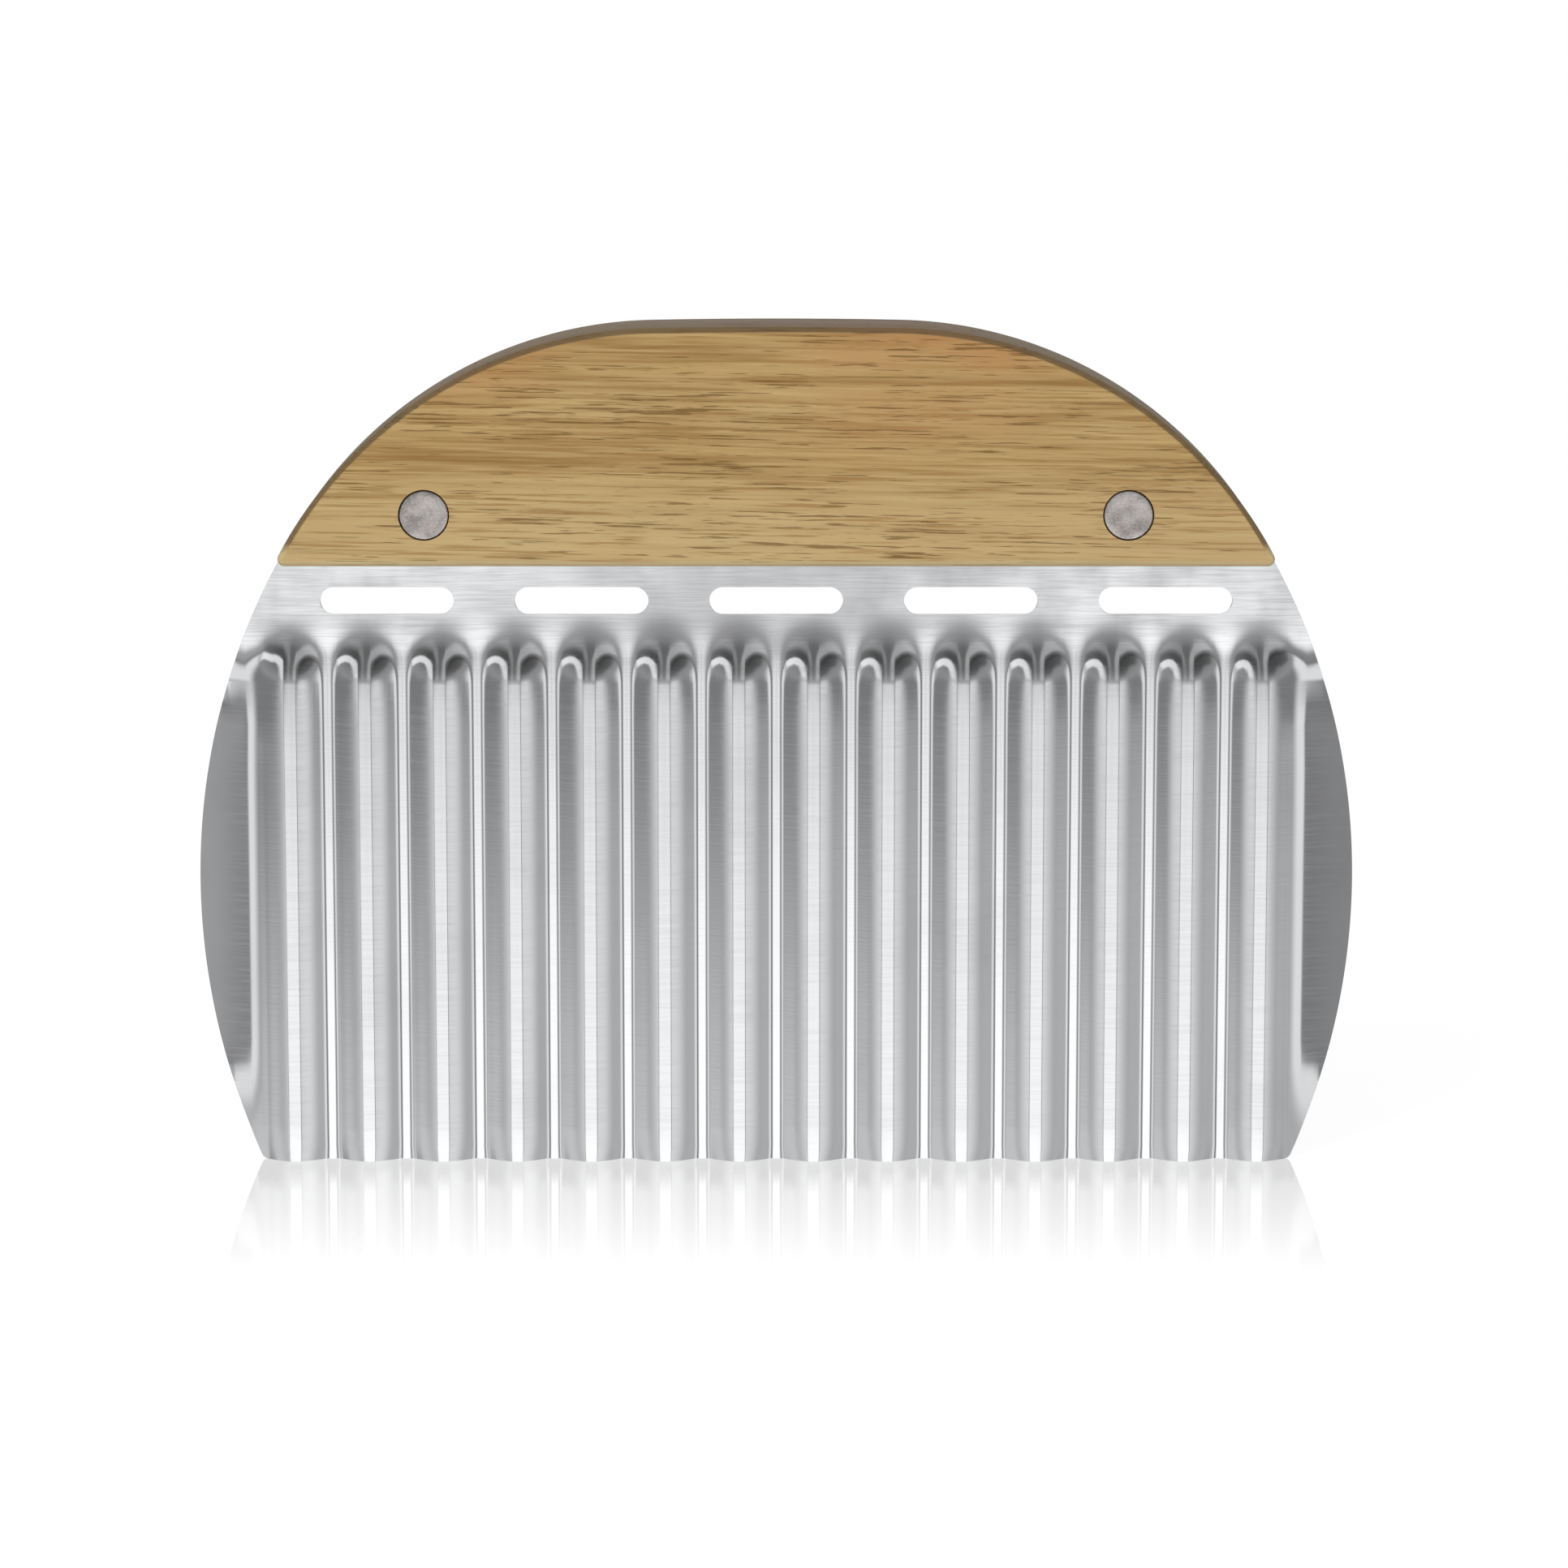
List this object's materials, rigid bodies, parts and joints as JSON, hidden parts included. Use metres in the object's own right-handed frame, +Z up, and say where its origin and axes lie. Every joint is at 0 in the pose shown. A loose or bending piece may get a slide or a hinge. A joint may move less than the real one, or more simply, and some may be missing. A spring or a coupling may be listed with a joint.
{
  "type": "crinkle cutter",
  "caption": "Hand crinkle cutter: a wide corrugated steel blade with a slotted band, held in a half-moon wooden handle by flush rivets, for cutting wavy slices.",
  "frame": {"origin": "middle of the cutting edge, at the bottom centre of the object's box", "axes": "+Z up from the cutting edge to the handle, +X along the edge to the right, -Y the front, the side that the picture shows"},
  "size_m": [0.1494, 0.015, 0.109],
  "materials": {
    "steel": "pressed stainless sheet, satin on the flat band and brighter on the bends",
    "wood": "light honey-brown wood, grain along the handle, thin satin oil",
    "rivet_metal": "sanded flush, mottled grey"
  },
  "bodies": {
    "root": {"blade": "steel", "handle": "wood", "left_rivet_post": "rivet_metal", "left_rivet_pin": "rivet_metal", "right_rivet_post": "rivet_metal", "right_rivet_pin": "rivet_metal"}
  },
  "joints": []
}
